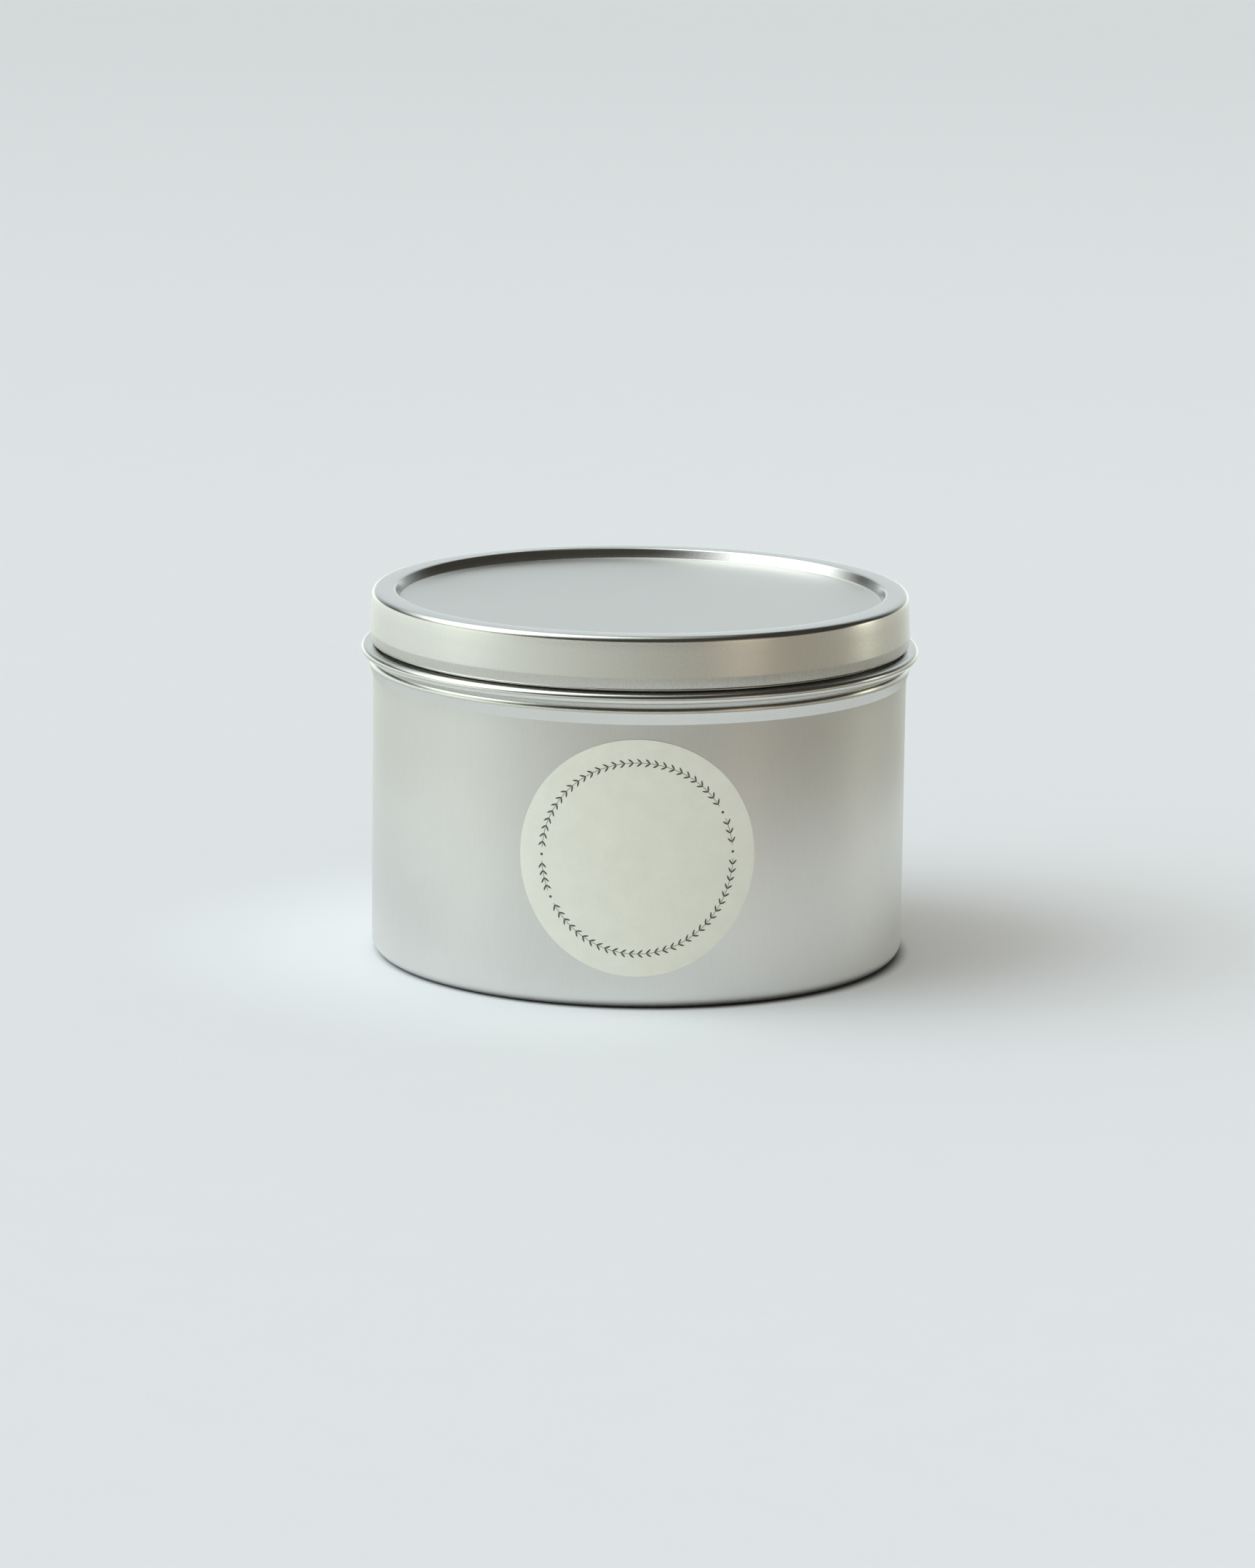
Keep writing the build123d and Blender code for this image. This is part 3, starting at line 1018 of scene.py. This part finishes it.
def dot(angle):
    """The outline of a small round dot on the wreath's line."""
    middle = ring_point(angle, WREATH_RADIUS)
    return [middle + ring_point(math.tau * step / LEAF_POINTS, DOT_RADIUS) for step in range(LEAF_POINTS)]


def stem(start, end):
    """Points and faces of the fine line that the leaves grow from, between two angles."""
    steps = math.ceil((end - start) / STEM_STEP)
    sections = []
    for step in range(steps + 1):
        angle = start + (end - start) * step / steps
        inner = ring_point(angle, WREATH_RADIUS - WREATH_STEM / 2)
        outer = ring_point(angle, WREATH_RADIUS + WREATH_STEM / 2)
        low = [Vector((point.x, point.y, LABEL_PAPER)) for point in (inner, outer)]
        high = [Vector((point.x, point.y, LABEL_PAPER + INK_FILM)) for point in (outer, inner)]
        sections.append(low + high)
    return skin(sections)


def printed(outline):
    """Points and faces of a film of ink with this outline, on the flat label."""
    count = len(outline)
    low = [Vector((point.x, point.y, LABEL_PAPER)) for point in outline]
    high = [Vector((point.x, point.y, LABEL_PAPER + INK_FILM)) for point in outline]
    faces = [tuple(range(count, 2 * count)), tuple(reversed(range(count)))]
    for corner in range(count):
        following = (corner + 1) % count
        faces.append((corner, following, count + following, count + corner))
    return low + high, faces


def make_print():
    """A plain printed wreath: slender leaves in pairs along a fine line, parted by four dots."""
    parts = [printed(dot(angle)) for angle in WREATH_DOTS]
    for here, following in zip(WREATH_DOTS, [*WREATH_DOTS[1:], WREATH_DOTS[0] + math.tau]):
        start = here + WREATH_GAP
        end = following - WREATH_GAP
        parts.append(stem(start, end))
        pairs = max(1, round((end - start) / WREATH_PITCH))
        for number in range(pairs):
            angle = start + (end - start) * (number + LEAF_START) / pairs
            parts += [printed(leaf(angle, side)) for side in (1, -1)]
    points, faces = join(parts)
    ink = add_mesh("label_print", [wrapped(point) for point in points], faces)
    ink.data.materials.append(ink_material())
    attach(ink, "tin")


def make_front_label():
    """The round paper label, wrapped round the wall."""
    paper = paper_material("label_paper", FRONT_PAPER, FRONT_PAPER_SHADED)
    label = lathe("label_front", paper_outline(FRONT_LABEL_RADIUS), wrapped)
    place_piece(label, "tin", "front_label", "label_paper", paper)


def turned_under(point):
    """A point of a flat sheet turned over and stuck up into the base recess."""
    return Vector((point.x, -point.y, BASE_RECESS_DEPTH - LABEL_GLUE - point.z))


def make_base_label():
    """The blank paper label stuck in the base recess, facing down."""
    paper = paper_material("base_label_paper", BASE_PAPER, BASE_PAPER_SHADED)
    label = lathe("label_base", paper_outline(BASE_LABEL_RADIUS), turned_under)
    place_piece(label, "tin", "base_label", "base_label_paper", paper)


# --- putting it together -----------------------------------------------------------------------

bpy.context.scene.view_settings.view_transform = "Standard"
make_camera()
light_studio()
make_stage()
wall_plate = tinplate_wall()
panel_plate = tinplate_panel()
make_body(wall_plate, panel_plate)
make_lid(wall_plate, panel_plate)
make_wax()
make_wick()
make_tab(wall_plate)
make_foam()
make_front_label()
make_print()
make_base_label()
